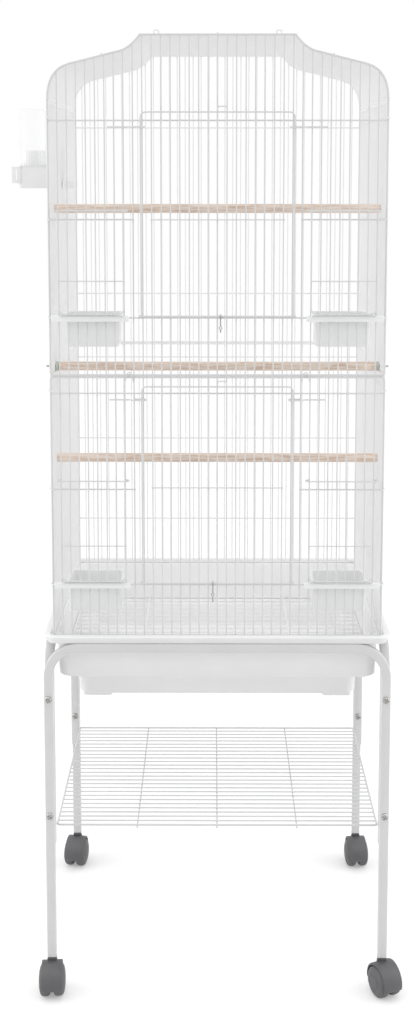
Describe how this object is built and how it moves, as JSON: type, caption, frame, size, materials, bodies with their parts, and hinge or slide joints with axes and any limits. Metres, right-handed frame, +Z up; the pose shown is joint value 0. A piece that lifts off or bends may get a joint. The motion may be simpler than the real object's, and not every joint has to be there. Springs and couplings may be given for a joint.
{
  "type": "bird cage with stand",
  "caption": "Wire bird cage with an arched roof, sliding doors, feeder cups, perches, a drinker and a moulded base, on a tube stand with a shelf and swivel casters.",
  "frame": {"origin": "on the floor under the wheels, at the middle of the whole object's width and depth", "axes": "+Z up, +X to the right of someone who looks at the doors, -Y towards that person"},
  "size_m": [0.567, 0.4254, 1.3609],
  "materials": {
    "white_coat": "smooth white powder coat",
    "white_plastic": "moulded, semi-gloss",
    "cup_plastic": "moulded, slightly see-through",
    "clear_plastic": "clear and polished",
    "bare_wood": "sanded, unfinished dowel",
    "plated_steel": "nickel plated",
    "grey_nylon": "moulded, dark grey",
    "black_nylon": "moulded, black"
  },
  "bodies": {
    "cage_and_stand": {"front_panel_lower": "white_coat", "front_panel_upper": "white_coat", "back_panel_lower": "white_coat", "back_panel_upper": "white_coat", "left_panel_lower": "white_coat", "left_panel_upper": "white_coat", "right_panel_lower": "white_coat", "right_panel_upper": "white_coat", "roof_panel": "white_coat", "section_clip_left": "white_coat", "section_clip_right": "white_coat", "feeder_cup_lower_left": "cup_plastic", "feeder_cup_lower_right": "cup_plastic", "feeder_cup_upper_left": "cup_plastic", "feeder_cup_upper_right": "cup_plastic", "perch_upper": "bare_wood", "perch_middle": "bare_wood", "perch_lower": "bare_wood", "perch_screw_left": "plated_steel", "perch_screw_right": "plated_steel", "drinker_trough": "white_plastic", "drinker_bottle": "clear_plastic", "base_pan": "white_plastic", "floor_grate": "white_coat", "stand_frame_front": "white_coat", "stand_frame_back": "white_coat", "stand_frame_left": "white_coat", "stand_frame_right": "white_coat", "bolt_front_left_upper": "plated_steel", "bolt_front_left_lower": "plated_steel", "bolt_front_right_upper": "plated_steel", "bolt_front_right_lower": "plated_steel", "bolt_back_left_upper": "plated_steel", "bolt_back_left_lower": "plated_steel", "bolt_back_right_upper": "plated_steel", "bolt_back_right_lower": "plated_steel", "shelf": "white_coat", "caster_stem_front_left": "black_nylon", "caster_stem_front_right": "black_nylon", "caster_stem_back_left": "black_nylon", "caster_stem_back_right": "black_nylon"},
    "main_door_upper": {"main_door_upper": "white_coat"},
    "main_door_lower": {"main_door_lower": "white_coat"},
    "feeder_door_upper_left": {"feeder_door_upper_left": "white_coat"},
    "feeder_door_upper_right": {"feeder_door_upper_right": "white_coat"},
    "feeder_door_lower_left": {"feeder_door_lower_left": "white_coat"},
    "feeder_door_lower_right": {"feeder_door_lower_right": "white_coat"},
    "door_latch_upper": {"door_latch_upper": "plated_steel"},
    "door_latch_lower": {"door_latch_lower": "plated_steel"},
    "caster_hood_front_left": {"caster_hood_front_left": "grey_nylon"},
    "caster_hood_front_right": {"caster_hood_front_right": "grey_nylon"},
    "caster_hood_back_left": {"caster_hood_back_left": "grey_nylon"},
    "caster_hood_back_right": {"caster_hood_back_right": "grey_nylon"},
    "caster_wheels_front_left": {"caster_wheels_front_left": "grey_nylon"},
    "caster_wheels_front_right": {"caster_wheels_front_right": "grey_nylon"},
    "caster_wheels_back_left": {"caster_wheels_back_left": "grey_nylon"},
    "caster_wheels_back_right": {"caster_wheels_back_right": "grey_nylon"}
  },
  "joints": [
    {"name": "main_door_upper_slide", "type": "slide", "parent": "cage_and_stand", "child": "main_door_upper", "axis": [0, 0, 1], "range_m": [0, 0.25]},
    {"name": "main_door_lower_slide", "type": "slide", "parent": "cage_and_stand", "child": "main_door_lower", "axis": [0, 0, 1], "range_m": [0, 0.06]},
    {"name": "feeder_door_upper_left_slide", "type": "slide", "parent": "cage_and_stand", "child": "feeder_door_upper_left", "axis": [0, 0, 1], "range_m": [0, 0.105]},
    {"name": "feeder_door_upper_right_slide", "type": "slide", "parent": "cage_and_stand", "child": "feeder_door_upper_right", "axis": [0, 0, 1], "range_m": [0, 0.105]},
    {"name": "feeder_door_lower_left_slide", "type": "slide", "parent": "cage_and_stand", "child": "feeder_door_lower_left", "axis": [0, 0, 1], "range_m": [0, 0.105]},
    {"name": "feeder_door_lower_right_slide", "type": "slide", "parent": "cage_and_stand", "child": "feeder_door_lower_right", "axis": [0, 0, 1], "range_m": [0, 0.105]},
    {"name": "door_latch_upper_pivot", "type": "hinge", "parent": "main_door_upper", "child": "door_latch_upper", "pos_m": [0.02047, -0.17397, 0.977], "axis": [-1, 0, 0], "range_deg": [0, 120]},
    {"name": "door_latch_lower_pivot", "type": "hinge", "parent": "main_door_lower", "child": "door_latch_lower", "pos_m": [0.01007, -0.17397, 0.6035], "axis": [-1, 0, 0], "range_deg": [0, 120]},
    {"name": "caster_front_left_swivel", "type": "hinge", "parent": "cage_and_stand", "child": "caster_hood_front_left", "pos_m": [-0.22023, -0.17437, 0.03], "axis": [0, 0, 1], "continuous": true},
    {"name": "caster_front_right_swivel", "type": "hinge", "parent": "cage_and_stand", "child": "caster_hood_front_right", "pos_m": [0.25277, -0.17437, 0.03], "axis": [0, 0, 1], "continuous": true},
    {"name": "caster_back_left_swivel", "type": "hinge", "parent": "cage_and_stand", "child": "caster_hood_back_left", "pos_m": [-0.22023, 0.19163, 0.03], "axis": [0, 0, 1], "continuous": true},
    {"name": "caster_back_right_swivel", "type": "hinge", "parent": "cage_and_stand", "child": "caster_hood_back_right", "pos_m": [0.25277, 0.19163, 0.03], "axis": [0, 0, 1], "continuous": true},
    {"name": "caster_front_left_roll", "type": "hinge", "parent": "caster_hood_front_left", "child": "caster_wheels_front_left", "pos_m": [-0.21967, -0.18235, 0.022], "axis": [0.9976, 0.0698, 0], "continuous": true},
    {"name": "caster_front_right_roll", "type": "hinge", "parent": "caster_hood_front_right", "child": "caster_wheels_front_right", "pos_m": [0.25615, -0.18162, 0.022], "axis": [0.9063, 0.4226, 0], "continuous": true},
    {"name": "caster_back_left_roll", "type": "hinge", "parent": "caster_hood_back_left", "child": "caster_wheels_back_left", "pos_m": [-0.22148, 0.18373, 0.022], "axis": [0.9877, -0.1564, 0], "continuous": true},
    {"name": "caster_back_right_roll", "type": "hinge", "parent": "caster_hood_back_right", "child": "caster_wheels_back_right", "pos_m": [0.25347, 0.18366, 0.022], "axis": [0.9962, 0.0872, 0], "continuous": true}
  ]
}
